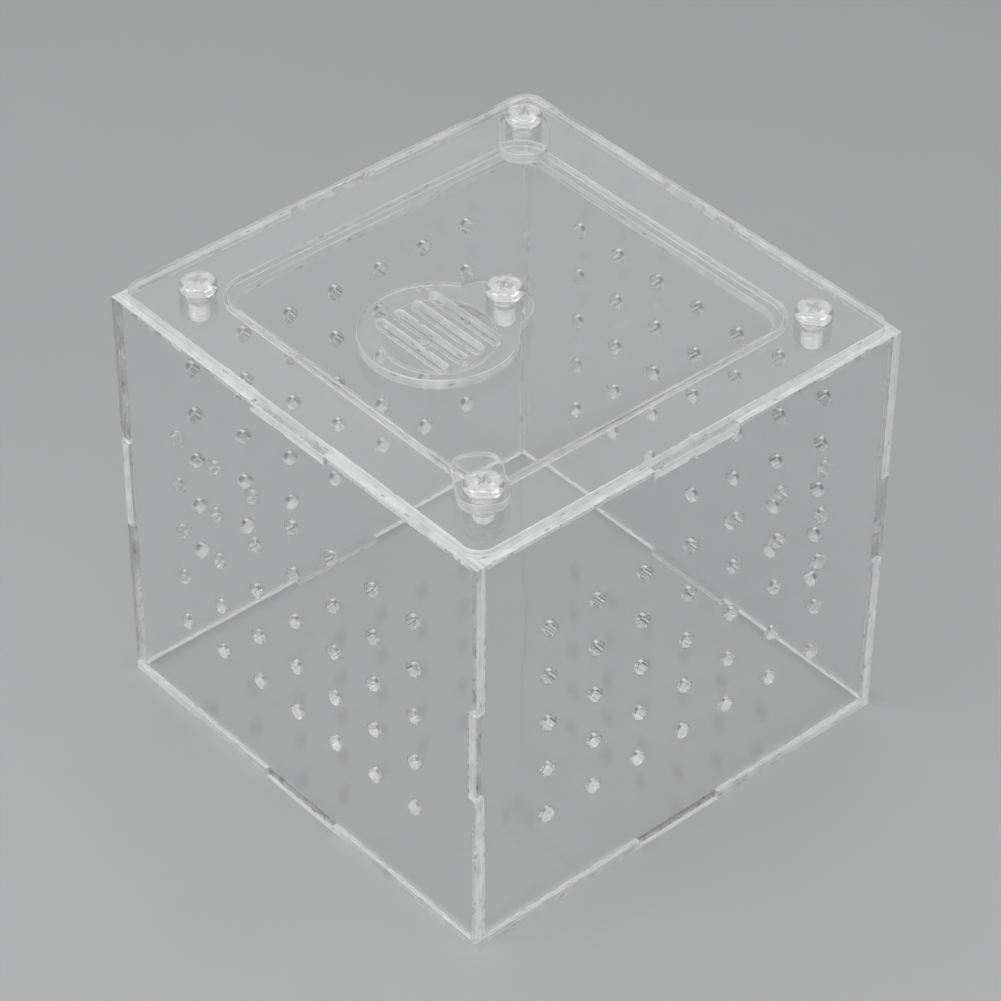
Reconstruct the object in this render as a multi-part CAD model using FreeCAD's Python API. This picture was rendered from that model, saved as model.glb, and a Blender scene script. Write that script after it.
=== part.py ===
"""Clear acrylic observation box for a queen bee or another small insect.

Millimetres, +Z up.  The origin is the middle of the underside of the base plate, on the
surface that the box stands on.  The front wall faces -Y and the right wall faces +X.
The box is cut from 2 mm sheet: a base, four perforated walls joined by fingers and tabs, a
lower and an upper rim plate, a lift-out lid with a feeding hole, a turning vent cover over
that hole and two turning latches.  Five M4 screws hold the top together.
"""

import FreeCAD
import Part

import math
import os

# Sheet and outline of the box
SHEET = 2.0
BOX_WIDTH = 100.0
BODY_HEIGHT = 90.0
FINGER_LENGTH = 20.0
FINGER_MID_HEIGHT = 47.0

# Grid of breathing holes in each wall
HOLE_DIAMETER = 3.0
HOLE_PITCH = 11.0
HOLE_COLUMNS = 7
HOLE_ROWS = 5
FRONT_GRID_MID_HEIGHT = 45.5
REAR_GRID_MID_HEIGHT = 44.5

# Rims and lid, all centred on the box
LOWER_OPENING = 71.0
LOWER_OPENING_RADIUS = 5.5
UPPER_WIDTH = 98.0
UPPER_CORNER_RADIUS = 4.0
UPPER_OPENING = 75.2
UPPER_OPENING_RADIUS = 7.0
LID_GAP = 0.6

# Feeding hole and the vent cover that turns on the screw in the middle of the lid
VENT_OFFSET = 15.5
FEEDING_HOLE_DIAMETER = 20.5
VENT_COVER_DIAMETER = 29.0
VENT_LOBE_DIAMETER = 16.0
VENT_LOBE_OFFSET = 3.8
VENT_SLOT_WIDTH = 2.0
VENT_SLOT_LENGTH = 18.6
VENT_SLOT_PITCH = 4.1
VENT_SLOT_COUNT = 4

# Latches, each turning on one of the corner screws
LATCH_LENGTH = 14.4
LATCH_WIDTH = 9.0
LATCH_CORNER_RADIUS = 3.6
LATCH_PIVOT_INSET = 3.6
FRONT_LATCH_TURN = 148.0
REAR_LATCH_TURN = -41.5

# M4 pan-head screws
SCREW_OFFSET = 38.8
SCREW_DIAMETER = 4.0
SCREW_LENGTH = 8.0
SCREW_TIP_CHAMFER = 0.5
HEAD_DIAMETER = 7.0
HEAD_HEIGHT = 2.6
HEAD_EDGE_RADIUS = 1.0
RECESS_LENGTH = 4.0
RECESS_WIDTH = 1.0
RECESS_DEPTH = 1.3

# Play of the turning plates: above and below them, and around their screws
PLATE_PLAY = 0.05
PIVOT_CLEARANCE = 0.05

# Levels
HALF = BOX_WIDTH / 2
RIM_BOTTOM = BODY_HEIGHT - SHEET
LID_TOP = BODY_HEIGHT + SHEET
TURNING_PLATE_BOTTOM = LID_TOP + PLATE_PLAY
TURNING_PLATE_TOP = TURNING_PLATE_BOTTOM + SHEET

UP = FreeCAD.Vector(0, 0, 1)


def vector(x, y, z=0.0):
    return FreeCAD.Vector(x, y, z)


def block(low, high):
    """Box between two opposite corners."""
    size = high - low
    return Part.makeBox(size.x, size.y, size.z, low)


def upright_cylinder(x, y, bottom, top, diameter):
    return Part.makeCylinder(diameter / 2, top - bottom, vector(x, y, bottom), UP)


def rounded_plate(length, width, radius, bottom, top):
    """Plate centred on the Z axis, length along X, whose four corners are rounded."""
    half_length = length / 2
    half_width = width / 2
    x = half_length - radius
    y = half_width - radius
    diagonal = radius * math.sqrt(0.5)
    edges = []
    for turn, straight, step in ((0, x, y), (90, y, x), (180, x, y), (270, y, x)):
        side = vector(straight + radius, 0)
        start = side - vector(0, step)
        end = side + vector(0, step)
        middle = vector(straight + diagonal, step + diagonal)
        stop = vector(straight, step + radius)
        pieces = [Part.Arc(end, middle, stop).toShape()]
        if step > 0:
            pieces.append(Part.LineSegment(start, end).toShape())
        for piece in pieces:
            piece.rotate(vector(0, 0), UP, turn)
            edges.append(piece)
    outline = Part.Face(Part.Wire(Part.__sortEdges__(edges)))
    outline.translate(vector(0, 0, bottom))
    return outline.extrude(vector(0, 0, top - bottom))


def square_plate(width, radius, bottom, top):
    return rounded_plate(width, width, radius, bottom, top)


def cut_all(solid, tools):
    return solid.cut(Part.makeCompound(tools)).removeSplitter()


def side_tabs(bottom, top):
    """The four joint tabs, one in the middle of each side, between two levels."""
    half_tab = FINGER_LENGTH / 2
    tab = block(vector(-half_tab, -HALF, bottom), vector(half_tab, -HALF + SHEET, top))
    tabs = []
    for turn in (0, 90, 180, 270):
        copy = tab.copy()
        copy.rotate(vector(0, 0), UP, turn)
        tabs.append(copy)
    return tabs


def breathing_holes(mid_height):
    """Tools for the holes of the front wall, running along Y, about the level mid_height."""
    tools = []
    for column in range(HOLE_COLUMNS):
        x = (column - (HOLE_COLUMNS - 1) / 2) * HOLE_PITCH
        for row in range(HOLE_ROWS):
            z = mid_height + (row - (HOLE_ROWS - 1) / 2) * HOLE_PITCH
            start = vector(x, -HALF - SHEET, z)
            tools.append(Part.makeCylinder(HOLE_DIAMETER / 2, 3 * SHEET, start, vector(0, 1)))
    return tools


def wall(fingers_out, grid_mid_height):
    """Front wall, standing at -Y, with a tab below for the base and a notch above for the rim.

    With fingers_out its ends stop short of the neighbouring walls and one finger on each end
    passes between them.  Without, it runs the full width and is notched for their fingers.
    """
    outer = -HALF
    inner = -HALF + SHEET
    half_finger = FINGER_LENGTH / 2
    low = FINGER_MID_HEIGHT - half_finger
    high = FINGER_MID_HEIGHT + half_finger
    end = HALF - SHEET if fingers_out else HALF
    sheet = block(vector(-end, outer, SHEET), vector(end, inner, BODY_HEIGHT))
    sheet = sheet.fuse(block(vector(-half_finger, outer, 0), vector(half_finger, inner, SHEET)))
    sheet = sheet.cut(
        block(vector(-half_finger, outer, RIM_BOTTOM), vector(half_finger, inner, BODY_HEIGHT))
    )
    finger_band = block(vector(-HALF, outer, low), vector(HALF, inner, high))
    if fingers_out:
        sheet = sheet.fuse(finger_band)
    else:
        middle = block(vector(-HALF + SHEET, outer, low), vector(HALF - SHEET, inner, high))
        sheet = sheet.cut(finger_band.cut(middle))
    return cut_all(sheet, breathing_holes(grid_mid_height))


def turned(solid, degrees):
    solid.rotate(vector(0, 0), UP, degrees)
    return solid


def base_plate():
    plate = block(vector(-HALF, -HALF, 0), vector(HALF, HALF, SHEET))
    return cut_all(plate, side_tabs(0, SHEET))


def corner_holes(diameter, bottom, top):
    holes = []
    for x in (-SCREW_OFFSET, SCREW_OFFSET):
        for y in (-SCREW_OFFSET, SCREW_OFFSET):
            holes.append(upright_cylinder(x, y, bottom, top, diameter))
    return holes


def lower_rim():
    """Plate between the walls, its tabs in their top edges; the lid rests on it."""
    reach = HALF - SHEET
    plate = block(vector(-reach, -reach, RIM_BOTTOM), vector(reach, reach, BODY_HEIGHT))
    plate = plate.multiFuse(side_tabs(RIM_BOTTOM, BODY_HEIGHT))
    opening = square_plate(LOWER_OPENING, LOWER_OPENING_RADIUS, RIM_BOTTOM, BODY_HEIGHT)
    tapped = corner_holes(SCREW_DIAMETER, RIM_BOTTOM, BODY_HEIGHT)
    return cut_all(plate, [opening] + tapped)


def upper_rim():
    """Frame that surrounds the lid, with rounded outer corners, a little inside the walls."""
    plate = square_plate(UPPER_WIDTH, UPPER_CORNER_RADIUS, BODY_HEIGHT, LID_TOP)
    opening = square_plate(UPPER_OPENING, UPPER_OPENING_RADIUS, BODY_HEIGHT, LID_TOP)
    return cut_all(plate, [opening] + corner_holes(SCREW_DIAMETER, BODY_HEIGHT, LID_TOP))


def lid_panel():
    width = UPPER_OPENING - 2 * LID_GAP
    plate = square_plate(width, UPPER_OPENING_RADIUS - LID_GAP, BODY_HEIGHT, LID_TOP)
    feeding_hole = upright_cylinder(0, -VENT_OFFSET, BODY_HEIGHT, LID_TOP, FEEDING_HOLE_DIAMETER)
    pivot_hole = upright_cylinder(0, 0, BODY_HEIGHT, LID_TOP, SCREW_DIAMETER)
    return cut_all(plate, [feeding_hole, pivot_hole])


def vent_cover():
    """Slotted disc over the feeding hole, with the lobe that it turns on."""
    bottom = TURNING_PLATE_BOTTOM
    top = TURNING_PLATE_TOP
    disc = upright_cylinder(0, -VENT_OFFSET, bottom, top, VENT_COVER_DIAMETER)
    lobe = upright_cylinder(0, -VENT_LOBE_OFFSET, bottom, top, VENT_LOBE_DIAMETER)
    plate = disc.fuse(lobe).removeSplitter()
    tools = [upright_cylinder(0, 0, bottom, top, SCREW_DIAMETER + 2 * PIVOT_CLEARANCE)]
    for index in range(VENT_SLOT_COUNT):
        slot = rounded_plate(VENT_SLOT_LENGTH, VENT_SLOT_WIDTH, VENT_SLOT_WIDTH / 2, bottom, top)
        step = (index - (VENT_SLOT_COUNT - 1) / 2) * VENT_SLOT_PITCH
        slot.translate(vector(0, -VENT_OFFSET + step))
        tools.append(slot)
    return cut_all(plate, tools)


def latch(x, y, turn):
    """Latch whose far end lies in the direction turn, in degrees, from its screw."""
    bottom = TURNING_PLATE_BOTTOM
    top = TURNING_PLATE_TOP
    plate = rounded_plate(LATCH_LENGTH, LATCH_WIDTH, LATCH_CORNER_RADIUS, bottom, top)
    plate.translate(vector(LATCH_LENGTH / 2 - LATCH_PIVOT_INSET, 0))
    hole = upright_cylinder(0, 0, bottom, top, SCREW_DIAMETER + 2 * PIVOT_CLEARANCE)
    plate = turned(plate.cut(hole), turn)
    plate.translate(vector(x, y))
    return plate


def screw(x, y, seat, turn):
    """Pan-head screw whose head sits at the level seat, its cross recess turned."""
    head_radius = HEAD_DIAMETER / 2
    shank_radius = SCREW_DIAMETER / 2
    flat_radius = head_radius - HEAD_EDGE_RADIUS
    edge_start = HEAD_HEIGHT - HEAD_EDGE_RADIUS
    diagonal = HEAD_EDGE_RADIUS * math.sqrt(0.5)
    arc = Part.Arc(
        vector(head_radius, 0, edge_start),
        vector(flat_radius + diagonal, 0, edge_start + diagonal),
        vector(flat_radius, 0, HEAD_HEIGHT),
    )
    outline = [
        vector(flat_radius, 0, HEAD_HEIGHT),
        vector(0, 0, HEAD_HEIGHT),
        vector(0, 0, -SCREW_LENGTH),
        vector(shank_radius - SCREW_TIP_CHAMFER, 0, -SCREW_LENGTH),
        vector(shank_radius, 0, -SCREW_LENGTH + SCREW_TIP_CHAMFER),
        vector(shank_radius, 0, 0),
        vector(head_radius, 0, 0),
        vector(head_radius, 0, edge_start),
    ]
    edges = [arc.toShape()]
    for start, end in zip(outline, outline[1:]):
        edges.append(Part.LineSegment(start, end).toShape())
    profile = Part.Face(Part.Wire(Part.__sortEdges__(edges)))
    solid = profile.revolve(vector(0, 0), UP, 360)
    low = HEAD_HEIGHT - RECESS_DEPTH
    arm = block(
        vector(-RECESS_LENGTH / 2, -RECESS_WIDTH / 2, low),
        vector(RECESS_LENGTH / 2, RECESS_WIDTH / 2, HEAD_HEIGHT + SHEET),
    )
    cross_arm = turned(arm.copy(), 90)
    solid = turned(cut_all(solid, [arm, cross_arm]), turn)
    solid.translate(vector(x, y, seat))
    return solid


def build_parts():
    """Every piece of the box by the name of its node."""
    plate_seat = LID_TOP
    turning_seat = TURNING_PLATE_TOP + PLATE_PLAY
    near = -SCREW_OFFSET
    far = SCREW_OFFSET
    return {
        "base_plate": base_plate(),
        "front_wall": wall(False, FRONT_GRID_MID_HEIGHT),
        "back_wall": turned(wall(False, REAR_GRID_MID_HEIGHT), 180),
        "left_wall": turned(wall(True, REAR_GRID_MID_HEIGHT), 270),
        "right_wall": turned(wall(True, FRONT_GRID_MID_HEIGHT), 90),
        "lower_rim": lower_rim(),
        "upper_rim": upper_rim(),
        "lid_panel": lid_panel(),
        "vent_cover": vent_cover(),
        "front_latch": latch(far, near, FRONT_LATCH_TURN),
        "rear_latch": latch(near, far, REAR_LATCH_TURN),
        "vent_screw": screw(0, 0, turning_seat, 30),
        "front_latch_screw": screw(far, near, turning_seat, 20),
        "rear_latch_screw": screw(near, far, turning_seat, 25),
        "left_rim_screw": screw(near, near, plate_seat, 45),
        "right_rim_screw": screw(far, far, plate_seat, 20),
    }


os.makedirs("parts", exist_ok=True)
for node, shape in build_parts().items():
    shape.exportStep("parts/" + node + ".step")
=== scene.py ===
"""Looks of a clear acrylic observation cage for a queen bee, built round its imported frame.

The cage is cut from 2 mm cast acrylic: a base, four perforated walls, two rim plates, a lid
with a feeding hole, a slotted vent cover and two turning latches, held by moulded screws.
Pieces are worked in millimetres and brought to metres as they take their places, which come
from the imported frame. Finishes and the studio are in metres.
"""

import logging
import math
from dataclasses import dataclass, field, replace
from enum import Enum
from typing import Any

import bmesh
import bpy
from mathutils import Matrix, Vector
from mathutils.geometry import tessellate_polygon


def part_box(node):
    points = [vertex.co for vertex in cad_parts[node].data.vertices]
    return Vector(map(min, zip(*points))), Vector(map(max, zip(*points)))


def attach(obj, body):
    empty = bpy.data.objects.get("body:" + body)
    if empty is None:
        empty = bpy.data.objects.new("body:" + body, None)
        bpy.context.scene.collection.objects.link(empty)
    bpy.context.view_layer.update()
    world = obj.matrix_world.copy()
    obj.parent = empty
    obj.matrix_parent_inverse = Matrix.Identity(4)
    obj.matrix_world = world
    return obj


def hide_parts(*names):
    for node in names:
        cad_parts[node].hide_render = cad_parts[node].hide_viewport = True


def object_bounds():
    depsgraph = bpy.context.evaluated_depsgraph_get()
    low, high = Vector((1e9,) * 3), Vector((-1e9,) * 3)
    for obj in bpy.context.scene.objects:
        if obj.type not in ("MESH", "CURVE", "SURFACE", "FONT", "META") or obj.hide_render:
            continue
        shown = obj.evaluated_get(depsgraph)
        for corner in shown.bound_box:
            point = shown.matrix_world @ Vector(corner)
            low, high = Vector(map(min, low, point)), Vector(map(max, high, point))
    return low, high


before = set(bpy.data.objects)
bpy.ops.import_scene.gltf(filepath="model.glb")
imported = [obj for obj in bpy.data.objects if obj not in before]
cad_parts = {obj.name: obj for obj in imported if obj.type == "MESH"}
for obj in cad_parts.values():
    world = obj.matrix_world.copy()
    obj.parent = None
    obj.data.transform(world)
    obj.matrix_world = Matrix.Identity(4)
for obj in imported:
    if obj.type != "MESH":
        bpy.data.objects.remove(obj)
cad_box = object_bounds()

LOG = logging.getLogger("cage")

MM = 0.001
TOLERANCE = 0.001
SHARP_ANGLE = 35
NOISE_SPAN = (0.3, 0.7)

Colour = tuple[float, float, float, float]
Material = bpy.types.Material
Outline = list[Vector]
Socket = bpy.types.NodeSocket


class Axis(Enum):
    """Direction across a sheet, from one of its faces to the other."""

    X = 0
    Y = 1
    Z = 2


class Side(Enum):
    """Side of the cage that a wall stands on, as its turn in degrees from the front."""

    FRONT = 0
    RIGHT = 90
    BACK = 180
    LEFT = 270


class Nodes:
    """A node tree that is put together one node at a time."""

    def __init__(self, tree: bpy.types.NodeTree) -> None:
        """Empties the tree that the nodes go into."""
        self.tree = tree
        tree.nodes.clear()

    def add(self, kind: str, values: dict | None = None, **settings: Any) -> bpy.types.Node:
        """Adds one node.

        Args:
            kind: Blender's name for the type of node.
            values: What goes into its inputs, by name or number. A socket is linked.
            settings: The node's own properties.

        Returns:
            The new node.
        """
        node = self.tree.nodes.new(kind)
        for name, value in settings.items():
            setattr(node, name, value)
        for key, value in (values or {}).items():
            if isinstance(value, Socket):
                self.tree.links.new(value, node.inputs[key])
            else:
                node.inputs[key].default_value = value
        return node

    def out(self, kind: str, values: dict | None = None, **settings: Any) -> Socket:
        """Adds one node and returns its first output."""
        return self.add(kind, values, **settings).outputs[0]

    def maths(self, operation: str, *values: Any, clamp: bool = False) -> Socket:
        """Adds a Math node and returns its output."""
        settings = {"operation": operation, "use_clamp": clamp}
        return self.out("ShaderNodeMath", dict(enumerate(values)), **settings)

    def vector(self, operation: str, *values: Any) -> Socket:
        """Adds a Vector Math node and returns its output."""
        return self.out("ShaderNodeVectorMath", dict(enumerate(values)), operation=operation)

    def split(self, vector: Socket) -> tuple[Socket, ...]:
        """Adds a Separate XYZ node and returns its three outputs."""
        return tuple(self.add("ShaderNodeSeparateXYZ", {0: vector}).outputs)

    def joined(self, x: Any, y: Any, z: Any) -> Socket:
        """Adds a Combine XYZ node and returns its output."""
        return self.out("ShaderNodeCombineXYZ", {0: x, 1: y, 2: z})


class Patterns(Nodes):
    """A shader's node tree, with the patterns that its inputs follow."""

    def noise(self, place: Socket, size: float, detail: float) -> Socket:
        """Adds a noise pattern.

        Args:
            place: Where the pattern is read.
            size: Length of one blot of the pattern.
            detail: How much finer detail it holds.

        Returns:
            The pattern's strength, about 0.5 on average.
        """
        values = {"Vector": place, "Scale": 1 / size, "Detail": detail}
        return self.add("ShaderNodeTexNoise", values).outputs["Fac"]

    def ramp(
        self, value: Socket, span: tuple[float, float], low: float = 0.0, high: float = 1.0
    ) -> Socket:
        """Turns a value's run over a span into a run from low to high, held at its ends."""
        values = {"Value": value, "From Min": span[0], "From Max": span[1]}
        values |= {"To Min": low, "To Max": high}
        return self.add("ShaderNodeMapRange", values).outputs["Result"]

    def blend(self, share: Socket, first: Any, second: Any) -> Socket:
        """Mixes two colours by a pattern."""
        values = {"Factor": share, 6: first, 7: second}
        return self.add("ShaderNodeMix", values, data_type="RGBA").outputs[2]

    def stretched(self, place: Socket, axes: list[Axis], share: float) -> Socket:
        """Squeezes the coordinates along some axes, so that a pattern is drawn out along them."""
        scale = [share if axis in axes else 1.0 for axis in Axis]
        return self.out("ShaderNodeMapping", {"Vector": place, "Scale": scale})


# Finishes


class Finish:
    """What every finish shares."""

    def start(self, name: str) -> tuple[Material, Patterns, Socket]:
        """Starts a material.

        Args:
            name: The material's name.

        Returns:
            The material, its empty tree and the object's own coordinates.
        """
        material = bpy.data.materials.new(name)
        material.use_nodes = True
        nodes = Patterns(material.node_tree)
        return material, nodes, nodes.add("ShaderNodeTexCoord").outputs["Object"]


class ClearFinish(Finish):
    """What the clear finishes share: fine bumps, and lamp light that comes through dimmed."""

    ior: float
    transmission: float
    lamp_colour: Colour
    smoothest: float
    dullest: float
    bump_strength: float
    bump_height: float

    def glaze(self, nodes: Patterns, colour: Socket, pattern: Socket, relief: Socket) -> None:
        """Ends a material in its clear shader.

        Args:
            nodes: The material's tree.
            colour: Its colour.
            pattern: The pattern that its roughness follows.
            relief: The pattern that its bumps follow.
        """
        bumps = {"Strength": self.bump_strength, "Distance": self.bump_height, "Height": relief}
        values = {
            "Base Color": colour,
            "Roughness": nodes.ramp(pattern, NOISE_SPAN, self.smoothest, self.dullest),
            "Normal": nodes.out("ShaderNodeBump", bumps),
            "IOR": self.ior,
            "Transmission Weight": self.transmission,
        }
        shader = nodes.out("ShaderNodeBsdfPrincipled", values)
        pane = nodes.out("ShaderNodeBsdfTransparent", {"Color": self.lamp_colour})
        path = nodes.add("ShaderNodeLightPath").outputs["Is Shadow Ray"]
        mix = nodes.out("ShaderNodeMixShader", {0: path, 1: shader, 2: pane})
        nodes.add("ShaderNodeOutputMaterial", {"Surface": mix})


@dataclass(frozen=True)
class PolishedFace(ClearFinish):
    """Flat face of cast acrylic sheet, with faint smudges and hairline scratches."""

    ior: float = 1.49
    transmission: float = 1.0
    clearest: Colour = (0.997, 0.998, 0.998, 1.0)
    cloudiest: Colour = (0.978, 0.979, 0.98, 1.0)
    lamp_colour: Colour = (0.975, 0.975, 0.976, 1.0)
    smudge_size: float = 16 * MM
    scratch_width: float = 0.25 * MM
    scratch_draw: float = 0.05
    smoothest: float = 0.0
    dullest: float = 0.035
    bump_strength: float = 0.05
    bump_height: float = 0.004 * MM

    def material(self) -> Material:
        """Makes the material."""
        material, nodes, place = self.start("polished_acrylic")
        smudges = nodes.noise(place, self.smudge_size, 4.0)
        scratches_at = nodes.stretched(place, [Axis.X], self.scratch_draw)
        scratches = nodes.noise(scratches_at, self.scratch_width, 1.0)
        colour = nodes.blend(smudges, self.clearest, self.cloudiest)
        self.glaze(nodes, colour, smudges, scratches)
        return material


@dataclass(frozen=True)
class CutEdge(ClearFinish):
    """Laser-cut edge of acrylic sheet: milky, in faint layers along it, with long bubbles."""

    across: Axis
    name: str = "laser_cut_edge"
    ior: float = 1.49
    transmission: float = 0.35
    bright: Colour = (0.95, 0.952, 0.955, 1.0)
    dull: Colour = (0.56, 0.562, 0.565, 1.0)
    bubble: Colour = (0.42, 0.422, 0.425, 1.0)
    lamp_colour: Colour = (0.82, 0.82, 0.822, 1.0)
    stripe_width: float = 0.35 * MM
    stripe_draw: float = 0.08
    layer_width: float = 0.5 * MM
    layer_draw: float = 0.03
    cloud_size: float = 2.4 * MM
    cloud_share: float = 0.4
    bubble_pitch: float = 1.4 * MM
    bubble_radius: float = 0.21
    bubble_draw: float = 0.35
    smoothest: float = 0.34
    dullest: float = 0.55
    bump_strength: float = 0.12
    bump_height: float = 0.008 * MM

    def material(self) -> Material:
        """Makes the material."""
        material, nodes, place = self.start(f"{self.name}_{self.across.name.lower()}")
        lengthwise = [axis for axis in Axis if axis is not self.across]
        stripes_at = nodes.stretched(place, [self.across], self.stripe_draw)
        stripes = nodes.noise(stripes_at, self.stripe_width, 1.0)
        layers_at = nodes.stretched(place, lengthwise, self.layer_draw)
        layers = nodes.noise(layers_at, self.layer_width, 2.0)
        clouds = nodes.noise(place, self.cloud_size, 4.0)
        cloudy = nodes.maths("MULTIPLY", clouds, self.cloud_share)
        marks = nodes.maths("MULTIPLY_ADD", layers, 1 - self.cloud_share, cloudy)
        colour = nodes.blend(nodes.ramp(marks, NOISE_SPAN), self.dull, self.bright)
        bubbles_at = nodes.stretched(place, lengthwise, self.bubble_draw)
        values = {"Vector": bubbles_at, "Scale": 1 / self.bubble_pitch}
        nearest = nodes.add("ShaderNodeTexVoronoi", values).outputs["Distance"]
        bubbles = nodes.ramp(nearest, (self.bubble_radius, self.bubble_radius / 2))
        self.glaze(nodes, nodes.blend(bubbles, colour, self.bubble), clouds, stripes)
        return material


@dataclass(frozen=True)
class WeldedEdge(CutEdge):
    """Cut edge that solvent has welded to its neighbour: wetted half clear."""

    name: str = "welded_edge"
    ior: float = 1.25
    transmission: float = 0.58
    dull: Colour = (0.74, 0.742, 0.745, 1.0)
    smoothest: float = 0.2
    dullest: float = 0.42


@dataclass(frozen=True)
class HoleWall(ClearFinish):
    """Wall of a small laser-cut hole, melted shiny but rippled."""

    ior: float = 1.49
    transmission: float = 0.82
    bright: Colour = (0.98, 0.982, 0.985, 1.0)
    dull: Colour = (0.78, 0.782, 0.785, 1.0)
    lamp_colour: Colour = (0.86, 0.86, 0.862, 1.0)
    ripple_size: float = 0.9 * MM
    smoothest: float = 0.04
    dullest: float = 0.16
    bump_strength: float = 0.35
    bump_height: float = 0.05 * MM

    def material(self) -> Material:
        """Makes the material."""
        material, nodes, place = self.start("melted_hole_wall")
        ripples = nodes.noise(place, self.ripple_size, 2.0)
        self.glaze(nodes, nodes.blend(ripples, self.dull, self.bright), ripples, ripples)
        return material


@dataclass(frozen=True)
class MouldedClear(ClearFinish):
    """Clear moulded plastic of the screws, more or less milky, with faint flow marks."""

    name: str = "moulded_clear_plastic"
    ior: float = 1.53
    transmission: float = 0.82
    clear: Colour = (0.995, 0.996, 0.998, 1.0)
    milky: Colour = (0.94, 0.942, 0.945, 1.0)
    lamp_colour: Colour = (0.8, 0.8, 0.8, 1.0)
    flow_size: float = 1.6 * MM
    grain_size: float = 0.3 * MM
    smoothest: float = 0.03
    dullest: float = 0.16
    bump_strength: float = 0.25
    bump_height: float = 0.02 * MM

    def material(self) -> Material:
        """Makes the material."""
        material, nodes, place = self.start(self.name)
        flow = nodes.noise(place, self.flow_size, 3.0)
        grain = nodes.noise(place, self.grain_size, 2.0)
        self.glaze(nodes, nodes.blend(flow, self.clear, self.milky), flow, grain)
        return material


@dataclass(frozen=True)
class PaleFloor(Finish):
    """Plain pale studio floor."""

    light: Colour = (0.385, 0.387, 0.39, 1.0)
    shade: Colour = (0.365, 0.367, 0.37, 1.0)
    grain_size: float = 40 * MM
    smoothest: float = 0.55
    dullest: float = 0.7

    def material(self) -> Material:
        """Makes the material."""
        material, nodes, place = self.start("pale_floor")
        grain = nodes.noise(place, self.grain_size, 3.0)
        values = {
            "Base Color": nodes.blend(grain, self.light, self.shade),
            "Roughness": nodes.ramp(grain, NOISE_SPAN, self.smoothest, self.dullest),
        }
        shader = nodes.out("ShaderNodeBsdfPrincipled", values)
        nodes.add("ShaderNodeOutputMaterial", {"Surface": shader})
        return material


@dataclass
class Finishes:
    """The finishes of the whole cage, each made once."""

    face: Material = field(default_factory=PolishedFace().material)
    edges: dict[Axis, Material] = field(
        default_factory=lambda: {axis: CutEdge(axis).material() for axis in Axis}
    )
    welds: dict[Axis, Material] = field(
        default_factory=lambda: {axis: WeldedEdge(axis).material() for axis in Axis}
    )
    hole: Material = field(default_factory=HoleWall().material)
    screw: Material = field(default_factory=MouldedClear().material)
    thread: Material = field(
        default_factory=MouldedClear("milky_thread", transmission=0.55).material
    )


# Outlines, as points in order with the sheet on their left


def bench_box(node: str) -> tuple[Vector, Vector]:
    """Lowest and highest corners of a CAD node, in millimetres."""
    low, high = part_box(node)
    return low / MM, high / MM


def arc(centre: Vector, radius: float, start: float, end: float, steps: int) -> Outline:
    """Points along an arc.

    Args:
        centre: The arc's centre.
        radius: Its radius.
        start: Angle of its first point, in degrees.
        end: Angle of its last point, in degrees.
        steps: How many straight steps it is drawn in.

    Returns:
        The points, both ends among them.
    """
    points = []
    for step in range(steps + 1):
        angle = math.radians(start + (end - start) * step / steps)
        points.append(centre + radius * Vector((math.cos(angle), math.sin(angle))))
    return points


def quarters(quarter: Outline) -> Outline:
    """Repeats a quarter of an outline four times round the origin."""
    points = []
    for turn in range(4):
        rotation = Matrix.Rotation(turn * math.pi / 2, 2)
        points += [rotation @ point for point in quarter]
    return points


def rounded_rectangle(length: float, width: float, radius: float, steps: int = 10) -> Outline:
    """Outline of a rectangle with rounded corners, its length along X."""
    x = length / 2 - radius
    y = width / 2 - radius
    points = []
    for turn, sign_x, sign_y in ((0, 1, 1), (90, -1, 1), (180, -1, -1), (270, 1, -1)):
        points += arc(Vector((sign_x * x, sign_y * y)), radius, turn, turn + 90, steps)
    return points


def circle(centre: Vector, diameter: float, steps: int = 96) -> Outline:
    """Outline of a full circle."""
    return arc(centre, diameter / 2, 0, 360, steps)[:-1]


def inset(outline: Outline, distance: float) -> Outline:
    """Moves an outline into the sheet by a distance, with mitred corners."""
    moved = []
    for before, point, after in zip(outline[-1:] + outline[:-1], outline, outline[1:] + outline[:1]):
        arriving = (point - before).normalized()
        leaving = (after - point).normalized()
        first = Vector((-arriving.y, arriving.x))
        second = Vector((-leaving.y, leaving.x))
        moved.append(point + (first + second) * distance / (1 + first.dot(second)))
    return moved


def reaches_out(outline: Outline, index: int) -> bool:
    """True if the edge after a point lies on the rectangle that just holds the outline."""
    ends = (outline[index], outline[(index + 1) % len(outline)])
    for axis in (0, 1):
        reach = [point[axis] for point in outline]
        for limit in (min(reach), max(reach)):
            if all(abs(end[axis] - limit) < TOLERANCE for end in ends):
                return True
    return False


# Meshes


def in_scene(name: str, data: bpy.types.ID) -> bpy.types.Object:
    """Puts an object with this data in the scene."""
    thing = bpy.data.objects.new(name, data)
    bpy.context.scene.collection.objects.link(thing)
    return thing


def plain_mesh(name: str, shape: bmesh.types.BMesh, coats: list[Material]) -> bpy.types.Mesh:
    """Turns a mesh in the making into a plain one with these materials."""
    mesh = bpy.data.meshes.new(name)
    for material in coats:
        mesh.materials.append(material)
    shape.to_mesh(mesh)
    shape.free()
    return mesh


def skin(shape: bmesh.types.BMesh, rings: list[list], slots: list[int]) -> None:
    """Joins rings of points, one above the other, by columns of faces.

    Args:
        shape: The mesh in the making.
        rings: The points of each ring, from the lowest ring up.
        slots: The material of each column.
    """
    for lower, upper in zip(rings, rings[1:]):
        for index, slot in enumerate(slots):
            after = (index + 1) % len(slots)
            corners = (lower[index], lower[after], upper[after], upper[index])
            shape.faces.new(corners).material_index = slot


# Sheets


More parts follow.
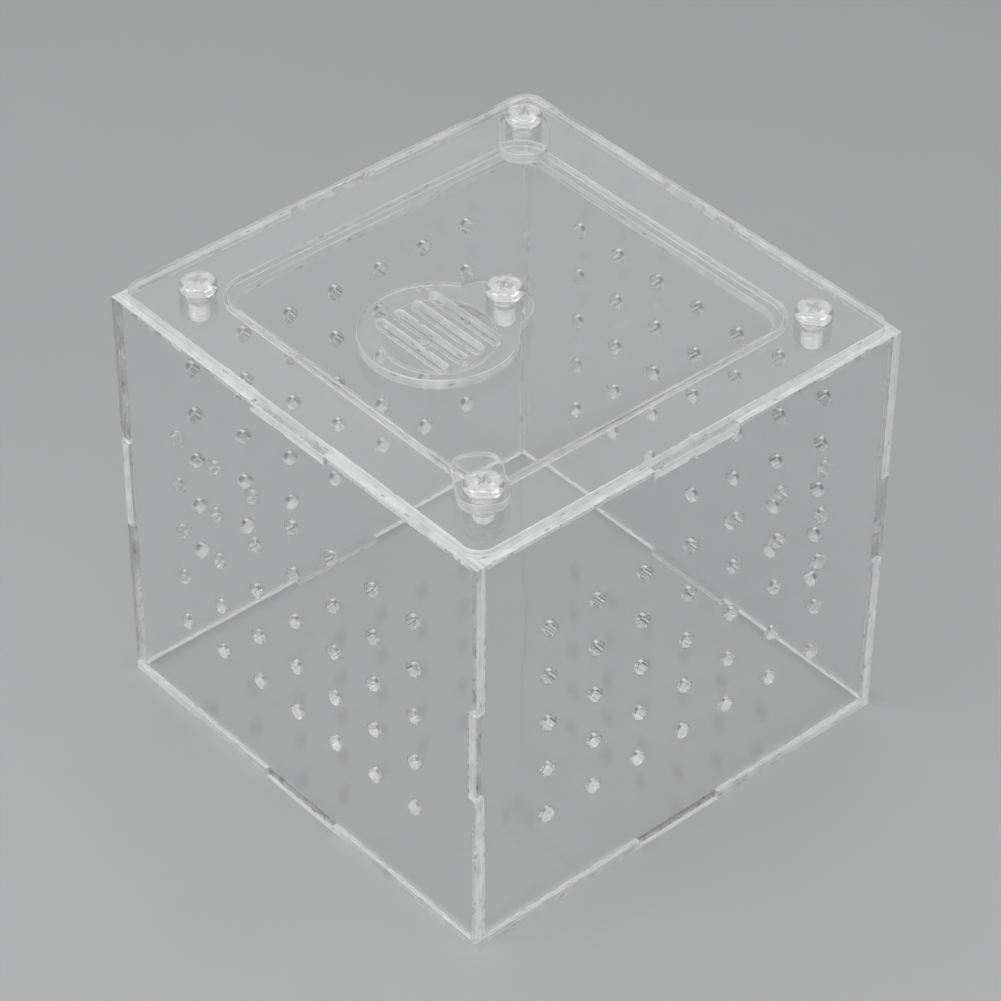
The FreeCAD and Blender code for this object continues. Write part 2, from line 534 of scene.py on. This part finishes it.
@dataclass(frozen=True)
class SheetStock:
    """The acrylic sheet that every flat piece is cut from."""

    thickness: float = 2
    chamfer: float = 0.07
    joint_gap: float = 0.012

    def solid(self, outlines: list[Outline], welded: bool) -> bmesh.types.BMesh:
        """Cuts a closed solid that lies on the XY plane, its cut edges broken.

        Args:
            outlines: The outer outline and then those of the openings.
            welded: True if its outer edges are welded, apart from those furthest out.

        Returns:
            The solid, as a mesh still in the making. Its faces take the first material, its
            open cut edges the second and its welded ones the third.
        """
        low = self.joint_gap
        high = self.thickness - self.joint_gap
        edge = self.chamfer
        levels = ((low, edge), (low + edge, 0.0), (high - edge, 0.0), (high, edge))
        solid = bmesh.new()
        caps: dict[float, list] = {low: [], high: []}
        for outline in outlines:
            trimmed = inset(outline, self.joint_gap)
            slots = [1] * len(outline)
            if welded and outline is outlines[0]:
                slots = [1 if reaches_out(outline, index) else 2 for index in range(len(outline))]
            rings = [
                [solid.verts.new((p.x, p.y, height)) for p in inset(trimmed, step)]
                for height, step in levels
            ]
            skin(solid, rings, slots)
            caps[low].append(rings[0])
            caps[high].append(rings[-1])
        for rings in caps.values():
            corners = [vert for ring in rings for vert in ring]
            for triangle in tessellate_polygon([[v.co for v in ring] for ring in rings]):
                solid.faces.new([corners[i] for i in triangle])
        bmesh.ops.recalc_face_normals(solid, faces=solid.faces)
        return solid


@dataclass(frozen=True)
class HoleGrid:
    """Round-ended holes through a sheet in even columns and rows, melted shiny or not."""

    hole_length: float
    hole_width: float
    columns: int = 1
    rows: int = 1
    column_pitch: float = 0.0
    row_pitch: float = 0.0
    centre: tuple[float, float, float] = (0.0, 0.0, 0.0)
    corner_steps: int = 5
    shiny: bool = False


def inputs_of(record: Any) -> dict[str, Any]:
    """A dataclass's fields as inputs of a tree: hole_length fills Hole Length."""
    return {name.replace("_", " ").title(): value for name, value in vars(record).items()}


SCREW_BORE = HoleGrid(4.1, 4.1, corner_steps=12)


class TreeModifier:
    """A Geometry Nodes tree that is built once and run on one mesh at a time."""

    def __init__(self, name: str, inputs: dict[str, tuple[str, ...]]) -> None:
        """Starts the tree.

        Args:
            name: The tree's name.
            inputs: The names of its inputs, by their kind of socket.
        """
        self.tree = bpy.data.node_groups.new(name, "GeometryNodeTree")
        self.declare("Geometry", "INPUT", "Geometry")
        self.identifiers = {
            title: self.declare(title, "INPUT", kind)
            for kind, titles in inputs.items()
            for title in titles
        }
        self.declare("Geometry", "OUTPUT", "Geometry")
        self.nodes = Nodes(self.tree)
        self.given = self.nodes.add("NodeGroupInput").outputs

    def declare(self, title: str, way: str, kind: str) -> str:
        """Declares an input or output of the tree and returns its identifier."""
        make = self.tree.interface.new_socket
        return make(title, in_out=way, socket_type="NodeSocket" + kind).identifier

    def cut(self, shape: Socket, tools: list[Socket]) -> Socket:
        """Cuts every tool out of a shape."""
        settings = {"operation": "DIFFERENCE", "solver": "MANIFOLD"}
        node = self.nodes.add("GeometryNodeMeshBoolean", {0: shape}, **settings)
        for tool in tools:
            self.tree.links.new(tool, node.inputs[1])
        return node.outputs[0]

    def place(self) -> Socket:
        """Where each point of the geometry is."""
        return self.nodes.out("GeometryNodeInputPosition")

    def end(self, geometry: Socket, coats: list[tuple[Socket, Socket | bool]]) -> None:
        """Ends the tree in Realize Instances and Set Material.

        Args:
            geometry: What the tree has made.
            coats: Each finish with the faces that take it.
        """
        last = self.nodes.out("GeometryNodeRealizeInstances", {0: geometry})
        for finish, faces in coats:
            values = {"Geometry": last, "Selection": faces, "Material": finish}
            last = self.nodes.out("GeometryNodeSetMaterial", values)
        self.nodes.add("NodeGroupOutput", {0: last})

    def run(self, mesh: bpy.types.Mesh, values: dict[str, Any]) -> bpy.types.Mesh:
        """Runs the tree on a mesh.

        Args:
            mesh: What goes in. It is removed afterwards.
            values: The value of each named input. Others are passed over.

        Returns:
            The plain mesh that comes out.
        """
        worked = in_scene("worked", mesh)
        modifier = worked.modifiers.new("tree", "NODES")
        modifier.node_group = self.tree
        for title, identifier in self.identifiers.items():
            modifier[identifier] = values[title]
        graph = bpy.context.evaluated_depsgraph_get()
        made = bpy.data.meshes.new_from_object(worked.evaluated_get(graph))
        bpy.data.objects.remove(worked)
        bpy.data.meshes.remove(mesh)
        return made


class PunchTree(TreeModifier):
    """Punches a grid of round-ended, lightly chamfered holes through a lying sheet."""

    STEEPEST_FLAT = 0.9
    NEARLY_HALF = 0.4999

    def __init__(self) -> None:
        """Builds the tree."""
        sizes = ("Thickness", "Chamfer", "Hole Length", "Hole Width", "Column Pitch", "Row Pitch")
        inputs = {
            "Float": sizes,
            "Int": ("Corner Steps", "Columns", "Rows"),
            "Vector": ("Centre",),
            "Material": ("Hole Finish",),
        }
        super().__init__("punched_sheet", inputs)
        punched = self.cut(self.given["Geometry"], [self.grid(self.cutter())])
        nodes = self.nodes
        upright = nodes.split(nodes.out("GeometryNodeInputNormal"))[2]
        steep = nodes.maths("LESS_THAN", nodes.maths("ABSOLUTE", upright), self.STEEPEST_FLAT)
        holes = nodes.maths("MULTIPLY", steep, self.near_holes())
        self.end(punched, [(self.given["Hole Finish"], holes)])

    def near_holes(self) -> Socket:
        """Which faces lie within the rectangle that the grid of holes fills."""
        nodes, given = self.nodes, self.given
        away = nodes.vector("SUBTRACT", self.place(), given["Centre"])
        apart = nodes.split(nodes.vector("ABSOLUTE", away))
        inside = []
        for distance, count, pitch, hole in (
            (apart[0], "Columns", "Column Pitch", "Hole Length"),
            (apart[1], "Rows", "Row Pitch", "Hole Width"),
        ):
            spaces = nodes.maths("SUBTRACT", given[count], 1.0)
            reach = nodes.maths("MULTIPLY_ADD", spaces, given[pitch], given[hole])
            limit = nodes.maths("MULTIPLY_ADD", reach, 0.5, given["Chamfer"])
            inside.append(nodes.maths("LESS_THAN", distance, limit))
        return nodes.maths("MULTIPLY", *inside)

    def cutter(self) -> Socket:
        """The tool of one hole: straight through the sheet and flared where it comes out.

        It starts a chamfer below the sheet and ends a chamfer above it. At both ends it is
        wider than the hole by two chamfers on each side.
        """
        nodes, given = self.nodes, self.given
        length, width, chamfer = given["Hole Length"], given["Hole Width"], given["Chamfer"]
        flare = nodes.maths("MULTIPLY", chamfer, 4.0)
        double = nodes.maths("MULTIPLY", chamfer, 2.0)
        straight = nodes.maths("SUBTRACT", given["Thickness"], double)
        grown = [nodes.maths("ADD", size, flare) for size in (length, width)]
        stretches = [nodes.maths("DIVIDE", *sizes) for sizes in zip(grown, (length, width))]
        wider = nodes.joined(*stretches, 1.0)
        narrower = nodes.vector("DIVIDE", (1.0, 1.0, 1.0), wider)
        box = nodes.out("GeometryNodeCurvePrimitiveQuadrilateral", {0: length, 1: width})
        radius = nodes.maths("MULTIPLY", width, self.NEARLY_HALF)
        values = {"Curve": box, "Count": given["Corner Steps"], "Radius": radius}
        rounded = nodes.out("GeometryNodeFilletCurve", values, mode="POLY")
        flat = nodes.out("GeometryNodeFillCurve", {0: rounded}, mode="NGONS")
        sunk = nodes.joined(0.0, 0.0, nodes.maths("MULTIPLY", chamfer, -1.0))
        values = {"Geometry": flat, "Translation": sunk, "Scale": wider}
        floor = nodes.out("GeometryNodeTransform", values)
        mesh, top = self.raised(floor, True, double, narrower)
        mesh, top = self.raised(mesh, top, straight, (1.0, 1.0, 1.0))
        mesh, top = self.raised(mesh, top, double, wider)
        under = nodes.out("GeometryNodeFlipFaces", {0: floor})
        joined = nodes.add("GeometryNodeJoinGeometry", {0: mesh})
        nodes.tree.links.new(under, joined.inputs[0])
        values = {"Geometry": joined.outputs[0], "Distance": TOLERANCE}
        return nodes.out("GeometryNodeMergeByDistance", values)

    def raised(self, mesh: Socket, top: Any, height: Any, stretch: Any) -> tuple[Socket, Socket]:
        """Raises the top face by a height and stretches it.

        Args:
            mesh: The tool so far.
            top: Which face is its top.
            height: How far the top goes up.
            stretch: How much wider it gets, along each axis.

        Returns:
            The taller tool and which face is now its top.
        """
        values = {"Mesh": mesh, "Selection": top, "Offset": (0.0, 0.0, 1.0), "Offset Scale": height}
        values["Individual"] = False
        taller = self.nodes.add("GeometryNodeExtrudeMesh", values, mode="FACES").outputs
        moved = self.nodes.vector("MULTIPLY", self.place(), stretch)
        values = {"Geometry": taller["Mesh"], "Selection": taller["Top"], "Position": moved}
        return self.nodes.out("GeometryNodeSetPosition", values), taller["Top"]

    def grid(self, cutter: Socket) -> Socket:
        """Repeats the tool in columns and rows."""
        nodes, given = self.nodes, self.given
        spans = [
            nodes.maths("MULTIPLY", given[pitch], nodes.maths("SUBTRACT", given[count], 1.0))
            for pitch, count in (("Column Pitch", "Columns"), ("Row Pitch", "Rows"))
        ]
        values = dict(enumerate([*spans, given["Columns"], given["Rows"]]))
        points = nodes.out("GeometryNodeMeshGrid", values)
        values = {"Geometry": points, "Translation": given["Centre"]}
        placed = nodes.out("GeometryNodeTransform", values)
        tools = nodes.out("GeometryNodeInstanceOnPoints", {"Points": placed, "Instance": cutter})
        return nodes.out("GeometryNodeRealizeInstances", {0: tools})

    def punch(
        self, mesh: bpy.types.Mesh, stock: SheetStock, holes: HoleGrid, finish: Material
    ) -> bpy.types.Mesh:
        """Punches one grid of holes.

        Args:
            mesh: The sheet, lying on the XY plane.
            stock: The sheet it is cut from.
            holes: The grid.
            finish: Finish of the holes' walls.

        Returns:
            The punched sheet.
        """
        return self.run(mesh, inputs_of(stock) | inputs_of(holes) | {"Hole Finish": finish})


# Placing the pieces


def level_of(node: str) -> Matrix:
    """From the XY plane up to the underside of a CAD node."""
    return Matrix.Translation((0, 0, bench_box(node)[0].z))


def finish_piece(
    name: str, mesh: bpy.types.Mesh, place: Matrix, body: str, node: str
) -> None:
    """Puts a finished mesh in its place on the cage.

    Args:
        name: Name of the piece.
        mesh: Its mesh, in its own drawing position.
        place: From that position to its place on the cage, in millimetres.
        body: The CAD body that it moves with.
        node: The CAD node that it stands for.
    """
    mesh.transform(Matrix.Scale(MM, 4) @ place)
    mesh.shade_smooth()
    mesh.set_sharp_from_angle(angle=math.radians(SHARP_ANGLE))
    mesh.name = name
    piece = in_scene(name, mesh)
    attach(piece, body)
    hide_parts(node)
    LOG.info("%s: %d faces, rides on %s", name, len(mesh.polygons), body)


@dataclass
class SheetShop:
    """Cuts, punches and places the flat pieces."""

    finishes: Finishes
    stock: SheetStock = field(default_factory=SheetStock)
    press: PunchTree = field(default_factory=PunchTree)

    def make(
        self,
        node: str,
        body: str,
        outlines: list[Outline],
        holes: list[HoleGrid],
        place: Matrix,
        across: Axis = Axis.Z,
        welded: bool = False,
    ) -> None:
        """Makes one flat piece.

        Args:
            node: The CAD node that it stands for.
            body: The CAD body that it moves with.
            outlines: Its outer outline and those of its openings.
            holes: The grids of holes that are punched in it.
            place: From lying on the XY plane to its place on the cage.
            across: The direction of its thickness once it is in place.
            welded: True if its outer edges are welded to other sheets.
        """
        edge = self.finishes.edges[across]
        coats = [self.finishes.face, edge]
        if welded:
            coats.append(self.finishes.welds[across])
        mesh = plain_mesh(node, self.stock.solid(outlines, welded), coats)
        for grid in holes:
            finish = self.finishes.hole if grid.shiny else edge
            mesh = self.press.punch(mesh, self.stock, grid, finish)
        finish_piece(node + "_sheet", mesh, place, body, node)


# The cage


@dataclass
class Body:
    """Base, four perforated walls and the lower rim that closes the top of the box."""

    width: float = 100
    tab_length: float = 20
    finger_middle: float = 47
    hole_diameter: float = 3
    hole_pitch: float = 11
    hole_columns: int = 7
    hole_rows: int = 5
    front_hole_middle: float = 45.5
    rear_hole_middle: float = 44.5
    opening: float = 71
    opening_radius: float = 5.5
    screw_pitch: float = 77.6

    def build(self, shop: SheetShop) -> None:
        """Makes every sheet of the body."""
        half = self.width / 2
        inside = half - shop.stock.thickness
        plan = self.joined_square(half, inside)
        shop.make("base_plate", "box", [plan], [], level_of("base_plate"), welded=True)
        plan = self.joined_square(inside, half)
        mouth = rounded_rectangle(self.opening, self.opening, self.opening_radius)
        holes = [self.screw_holes()]
        place = level_of("lower_rim")
        shop.make("lower_rim", "box", [plan, mouth[::-1]], holes, place, welded=True)
        for side, fingers_out, hole_middle in (
            (Side.FRONT, False, self.front_hole_middle),
            (Side.RIGHT, True, self.front_hole_middle),
            (Side.BACK, False, self.rear_hole_middle),
            (Side.LEFT, True, self.rear_hole_middle),
        ):
            self.wall(shop, side, fingers_out, hole_middle)

    def screw_holes(self) -> HoleGrid:
        """The four corner holes of a rim plate."""
        pitch = self.screw_pitch
        return replace(SCREW_BORE, columns=2, rows=2, column_pitch=pitch, row_pitch=pitch)

    def joined_square(self, half: float, joint: float) -> Outline:
        """Outline of a square plate with a notch or a tab in the middle of each side.

        Args:
            half: Half of its width.
            joint: Distance from its middle to the notches' bottoms or the tabs' ends.

        Returns:
            The outline.
        """
        tab = self.tab_length / 2
        points = ((half, -half), (half, -tab), (joint, -tab), (joint, tab), (half, tab))
        return quarters([Vector(point) for point in points])

    def wall_outline(self, fingers_out: bool, depth: float) -> Outline:
        """Outline of a wall, its height along Y, a tab below and a notch above.

        Args:
            fingers_out: True if its ends carry fingers, and False if they are notched.
            depth: How far tabs, notches and fingers go: the sheet's thickness.

        Returns:
            The outline, with the cage's base at height 0.
        """
        low = bench_box("base_plate")[0].z
        high = bench_box("lower_rim")[1].z
        tab = self.tab_length / 2
        finger_low = self.finger_middle - tab
        finger_high = self.finger_middle + tab
        half = self.width / 2
        main, finger = (half - depth, half) if fingers_out else (half, half - depth)
        right = [(tab, low), (tab, low + depth), (main, low + depth), (main, finger_low)]
        right += [(finger, finger_low), (finger, finger_high), (main, finger_high)]
        right += [(main, high), (tab, high), (tab, high - depth)]
        left = [(-across, up) for across, up in reversed(right)]
        return [Vector(point) for point in right + left]

    def wall(self, shop: SheetShop, side: Side, fingers_out: bool, hole_middle: float) -> None:
        """Makes one wall.

        Args:
            shop: Where the sheet is cut.
            side: The side that it stands on.
            fingers_out: True if its ends carry fingers, and False if they are notched.
            hole_middle: Height of the middle row of holes.
        """
        depth = shop.stock.thickness
        holes = HoleGrid(
            *(self.hole_diameter, self.hole_diameter),
            *(self.hole_columns, self.hole_rows),
            *(self.hole_pitch, self.hole_pitch),
            centre=(0.0, hole_middle, 0.0),
            shiny=True,
        )
        standing = Matrix.Rotation(math.pi / 2, 4, "X")
        inner_face = Matrix.Translation((0, depth - self.width / 2, 0))
        place = Matrix.Rotation(math.radians(side.value), 4, "Z") @ inner_face @ standing
        across = Axis.Y if side in (Side.FRONT, Side.BACK) else Axis.X
        outline = self.wall_outline(fingers_out, depth)
        shop.make(side.name.lower() + "_wall", "box", [outline], [holes], place, across, welded=True)


@dataclass
class Top:
    """Upper rim, and the lid that lies inside it with its feeding hole."""

    corner_radius: float = 4
    opening: float = 75.2
    opening_radius: float = 7
    lid_gap: float = 0.6
    vent_offset: float = 15.5
    feeding_hole: float = 20.5

    def build(self, shop: SheetShop, body: Body) -> None:
        """Makes the upper rim and the lid, both lying on the lower rim."""
        place = level_of("upper_rim")
        mouth = rounded_rectangle(self.opening, self.opening, self.opening_radius)
        feeding = circle(Vector((0, -self.vent_offset)), self.feeding_hole)
        lid_radius = self.opening_radius - self.lid_gap
        for node, radius, opening, holes in (
            ("upper_rim", self.corner_radius, mouth, body.screw_holes()),
            ("lid_panel", lid_radius, feeding, SCREW_BORE),
        ):
            low, high = bench_box(node)
            plan = rounded_rectangle(high.x - low.x, high.x - low.x, radius)
            shop.make(node, "box", [plan, opening[::-1]], [holes], place)


@dataclass
class VentCover:
    """Slotted disc over the feeding hole, with the lobe that it turns on."""

    disc: float = 29
    lobe: float = 16
    lobe_offset: float = 3.8
    slot_length: float = 18.6
    slot_width: float = 2
    slot_pitch: float = 4.1
    slot_count: int = 4

    def outline(self, vent_offset: float) -> Outline:
        """Outline of the disc and its lobe, as one plate."""
        large = self.disc / 2
        small = self.lobe / 2
        spacing = vent_offset - self.lobe_offset
        along = (large**2 - small**2 + spacing**2) / (2 * spacing)
        across = math.sqrt(large**2 - along**2)
        neck = math.degrees(math.atan2(across, along))
        lobe_neck = math.degrees(math.atan2(across, along - spacing))
        disc = arc(Vector((0, -vent_offset)), large, 90 + neck, 450 - neck, 120)
        lobe = arc(Vector((0, -self.lobe_offset)), small, 90 - lobe_neck, 90 + lobe_neck, 48)
        return disc[:-1] + lobe[:-1]

    def build(self, shop: SheetShop, top: Top) -> None:
        """Makes the cover."""
        slots = HoleGrid(
            self.slot_length,
            self.slot_width,
            rows=self.slot_count,
            row_pitch=self.slot_pitch,
            centre=(0.0, -top.vent_offset, 0.0),
        )
        outlines = [self.outline(top.vent_offset)]
        holes = [slots, SCREW_BORE]
        shop.make("vent_cover", "vent_cover", outlines, holes, level_of("vent_cover"))


@dataclass
class Latch:
    """Small turning plate that keeps the lid down."""

    node: str
    screw_node: str
    turn: float
    length: float = 14.4
    width: float = 9
    radius: float = 3.6

    def build(self, shop: SheetShop) -> None:
        """Makes the latch, turned as it lies over the lid."""
        low, high = bench_box(self.screw_node)
        pivot = (low + high) / 2
        reach = self.length / 2 - self.radius
        outline = rounded_rectangle(self.length, self.width, self.radius)
        outline = [point + Vector((reach, 0)) for point in outline]
        place = Matrix.Translation((pivot.x, pivot.y, 0)) @ level_of(self.node)
        place @= Matrix.Rotation(math.radians(self.turn), 4, "Z")
        shop.make(self.node, self.node, [outline], [SCREW_BORE], place)


class ScrewTree(TreeModifier):
    """Cuts a thread into a turned blank and a cross recess into its head."""

    TURNS_ABOVE_ZERO = 100.0
    TAPER = (0.6, 0.8, 1.0)

    def __init__(self) -> None:
        """Builds the tree."""
        thread = ("Shank Radius", "Thread Pitch", "Thread Depth", "Thread Start", "Thread End")
        head = ("Runout", "Head Height", "Recess Length", "Recess Width", "Recess Depth")
        inputs = {"Float": thread + head, "Material": ("Head Finish", "Thread Finish")}
        super().__init__("moulded_screw", inputs)
        arms = [self.recess_arm(quarter_turn) for quarter_turn in (0.0, math.pi / 2)]
        screw = self.cut(self.thread(), arms)
        height = self.nodes.split(self.place())[2]
        below_seat = self.nodes.maths("LESS_THAN", height, 0.0)
        coats = [(self.given["Head Finish"], True), (self.given["Thread Finish"], below_seat)]
        self.end(screw, coats)

    def thread(self) -> Socket:
        """Moves the shank's surface in and out along a helix."""
        nodes, given = self.nodes, self.given
        place = self.place()
        x, y, z = nodes.split(place)
        turn = nodes.maths("DIVIDE", nodes.maths("ARCTAN2", y, x), math.tau)
        climb = nodes.maths("DIVIDE", z, given["Thread Pitch"])
        along = nodes.maths("SUBTRACT", climb, turn)
        phase = nodes.maths("FRACT", nodes.maths("ADD", along, self.TURNS_ABOVE_ZERO))
        groove = nodes.maths("ABSOLUTE", nodes.maths("MULTIPLY_ADD", phase, 2.0, -1.0))
        entering = nodes.maths("SUBTRACT", z, given["Thread Start"])
        leaving = nodes.maths("SUBTRACT", given["Thread End"], z)
        for distance in (entering, leaving):
            share = nodes.maths("DIVIDE", distance, given["Runout"], clamp=True)
            groove = nodes.maths("MULTIPLY", groove, share)
        depth = nodes.maths("MULTIPLY", groove, given["Thread Depth"])
        inwards = nodes.maths("DIVIDE", depth, given["Shank Radius"])
        keep = nodes.maths("SUBTRACT", 1.0, inwards)
        moved = nodes.vector("MULTIPLY", place, nodes.joined(keep, keep, 1.0))
        values = {"Geometry": given["Geometry"], "Position": moved}
        return nodes.out("GeometryNodeSetPosition", values)

    def recess_arm(self, turn: float) -> Socket:
        """The tool of one arm of the cross, narrower at the bottom.

        Args:
            turn: Its turn about the screw's axis, in radians.

        Returns:
            The tool.
        """
        nodes, given = self.nodes, self.given
        tall = nodes.maths("MULTIPLY", given["Recess Depth"], 2.0)
        size = nodes.joined(given["Recess Length"], given["Recess Width"], tall)
        block = nodes.out("GeometryNodeMeshCube", {"Size": size})
        place = self.place()
        below = nodes.maths("LESS_THAN", nodes.split(place)[2], 0.0)
        tapered = nodes.vector("MULTIPLY", place, self.TAPER)
        values = {"Geometry": block, "Selection": below, "Position": tapered}
        tool = nodes.out("GeometryNodeSetPosition", values)
        top = nodes.joined(0.0, 0.0, given["Head Height"])
        values = {"Geometry": tool, "Translation": top, "Rotation": (0.0, 0.0, turn)}
        return nodes.out("GeometryNodeTransform", values)


@dataclass
class Screws:
    """The five moulded M4 pan-head screws."""

    diameter: float = 4
    play: float = 0.03
    thread_pitch: float = 0.7
    thread_depth: float = 0.36
    tip_chamfer: float = 0.5
    tip_rise: float = 0.375
    plain_neck: float = 0.3
    small_edge: float = 0.12
    head_diameter: float = 7
    head_edge_radius: float = 1
    seat_gap: float = 0.015
    recess_length: float = 4
    recess_width: float = 1
    recess_depth: float = 1.3
    head_height: float = 2.6
    rows_per_turn: int = 10
    segments: int = 56
    turns: tuple[tuple[str, float], ...] = (
        ("vent_screw", 30.0),
        ("front_latch_screw", 20.0),
        ("rear_latch_screw", 25.0),
        ("left_rim_screw", 45.0),
        ("right_rim_screw", 20.0),
    )

    def profile(self, length: float) -> Outline:
        """Half outline of the blank, from the tip's middle up to the head's, at seat height 0.

        Args:
            length: Length of the shank below the head.

        Returns:
            Points of radius and height.
        """
        shank = self.diameter / 2 - self.play
        head = self.head_diameter / 2
        edge = self.head_edge_radius
        small = self.small_edge
        seat = self.seat_gap
        rows = round(length / self.thread_pitch * self.rows_per_turn)
        start = self.tip_chamfer - length
        rise = -self.plain_neck - start
        points = [(shank - self.tip_chamfer, -length), (shank - small, self.tip_rise - length)]
        points += [(shank, start + rise * row / rows) for row in range(rows + 1)]
        points += [(shank, seat), (head - small, seat), (head, seat + small)]
        corner = Vector((head - edge, self.head_height - edge))
        return [Vector(point) for point in points] + arc(corner, edge, 0, 90, 8)

    def blank(self, length: float, finish: Material) -> bpy.types.Mesh:
        """Turns the closed blank of a screw about the Z axis."""
        turned = bmesh.new()
        rings = []
        for point in self.profile(length):
            ring = circle(Vector((0, 0)), 2 * point.x, self.segments)
            rings.append([turned.verts.new((spot.x, spot.y, point.y)) for spot in ring])
        skin(turned, rings, [0] * self.segments)
        turned.faces.new(reversed(rings[0]))
        turned.faces.new(rings[-1])
        return plain_mesh("blank", turned, [finish])

    def build(self, finishes: Finishes) -> None:
        """Makes every screw."""
        tree = ScrewTree()
        for node, turn in self.turns:
            low, high = bench_box(node)
            middle = (low + high) / 2
            length = high.z - low.z - self.head_height
            values = inputs_of(self) | {
                "Shank Radius": self.diameter / 2,
                "Thread Start": -length,
                "Thread End": -self.thread_pitch / 2,
                "Runout": self.thread_pitch,
                "Head Finish": finishes.screw,
                "Thread Finish": finishes.thread,
            }
            mesh = tree.run(self.blank(length, finishes.screw), values)
            seat = Matrix.Translation((middle.x, middle.y, high.z - self.head_height))
            place = seat @ Matrix.Rotation(math.radians(turn), 4, "Z")
            finish_piece(node + "_moulding", mesh, place, "box", node)


# The studio


@dataclass
class Lamp:
    """A soft square lamp that points at the cage."""

    name: str
    azimuth: float
    elevation: float
    distance: float
    size: float
    power: float

    def build(self, target: Vector) -> None:
        """Hangs the lamp, at its azimuth and elevation as seen from the target."""
        data = bpy.data.lights.new(self.name, "AREA")
        data.size = self.size
        data.energy = self.power
        lamp = in_scene(self.name, data)
        back = direction(self.azimuth, self.elevation)
        lamp.location = target + back * self.distance
        lamp.rotation_euler = back.to_track_quat("Z", "Y").to_euler()


def direction(azimuth: float, elevation: float) -> Vector:
    """Direction towards a viewer, azimuth 0 standing on -Y, angles in degrees."""
    a, e = math.radians(azimuth), math.radians(elevation)
    return Vector((math.sin(a) * math.cos(e), -math.cos(a) * math.cos(e), math.sin(e)))


@dataclass
class Studio:
    """Pale floor, soft lamps and the camera."""

    azimuth: float = 48.47
    elevation: float = 39.71
    roll: float = 0.46
    distance: float = 713.2 * MM
    lens: float = 138.4
    aim_offset: tuple[float, float, float] = (0.3 * MM, -0.9 * MM, -1.0 * MM)
    floor_width: float = 16.0
    horizon: Colour = (0.25, 0.255, 0.26, 1.0)
    zenith: Colour = (0.05, 0.052, 0.055, 1.0)
    horizon_depth: float = 0.5

    def build(self) -> None:
        """Sets up everything round the cage."""
        low, high = cad_box
        middle = (low + high) / 2
        self.floor(low.z)
        self.world()
        for lamp in (
            Lamp("back_softbox", self.azimuth + 180, 42, 1.5, 1.2, 2.9),
            Lamp("top_softbox", self.azimuth - 20, 74, 1.2, 0.6, 7.0),
            Lamp("left_softbox", self.azimuth - 62, 30, 1.2, 0.6, 9.5),
            Lamp("right_softbox", self.azimuth + 54, 26, 1.2, 0.5, 8.0),
        ):
            lamp.build(middle)
        self.camera(middle + Vector(self.aim_offset))
        self.picture()

    def floor(self, height: float) -> None:
        """Lays the floor."""
        plan = bmesh.new()
        bmesh.ops.create_grid(plan, x_segments=4, y_segments=4, size=self.floor_width / 2)
        mesh = plain_mesh("floor", plan, [PaleFloor().material()])
        mesh.transform(Matrix.Translation((0, 0, height)))
        in_scene("floor", mesh)

    def world(self) -> None:
        """Fills the room with soft light, paler at the horizon than overhead."""
        world = bpy.data.worlds.new("studio")
        bpy.context.scene.world = world
        world.use_nodes = True
        nodes = Patterns(world.node_tree)
        height = nodes.split(nodes.add("ShaderNodeTexCoord").outputs["Generated"])[2]
        share = nodes.ramp(height, (0.0, self.horizon_depth))
        sky = nodes.blend(share, self.horizon, self.zenith)
        light = nodes.out("ShaderNodeBackground", {"Color": sky})
        nodes.add("ShaderNodeOutputWorld", {"Surface": light})

    def camera(self, aim: Vector) -> None:
        """Stands the camera at its distance from the point that it aims at."""
        data = bpy.data.cameras.new("camera")
        data.lens = self.lens
        camera = in_scene("camera", data)
        back = direction(self.azimuth, self.elevation)
        right = Vector((0, 0, 1)).cross(back).normalized()
        axes = Matrix((right, back.cross(right), back)).transposed().to_4x4()
        roll = Matrix.Rotation(math.radians(self.roll), 4, "Z")
        camera.matrix_world = Matrix.Translation(aim + back * self.distance) @ axes @ roll
        bpy.context.scene.camera = camera

    def picture(self) -> None:
        """Sets how light is followed through many clear layers, and how it is shown.

        Lamp light reaches through the clear faces by their own shading, so it isn't counted
        again as caustics.
        """
        cycles = bpy.context.scene.cycles
        cycles.max_bounces = 32
        cycles.transmission_bounces = 32
        cycles.transparent_max_bounces = 48
        cycles.glossy_bounces = 12
        cycles.sample_clamp_indirect = 6.0
        cycles.caustics_reflective = False
        cycles.caustics_refractive = False
        bpy.context.scene.view_settings.view_transform = "Standard"


def write_sizes() -> None:
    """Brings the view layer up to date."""
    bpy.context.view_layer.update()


def main() -> None:
    """Builds the cage and the studio, and reports each piece."""
    logging.basicConfig(level=logging.INFO, format="%(name)s: %(message)s")
    finishes = Finishes()
    shop = SheetShop(finishes)
    body = Body()
    body.build(shop)
    top = Top()
    top.build(shop, body)
    VentCover().build(shop, top)
    for latch in (
        Latch("front_latch", "front_latch_screw", 148.0),
        Latch("rear_latch", "rear_latch_screw", -41.5),
    ):
        latch.build(shop)
    Screws().build(finishes)
    Studio().build()
    write_sizes()


if __name__ == "__main__":
    main()
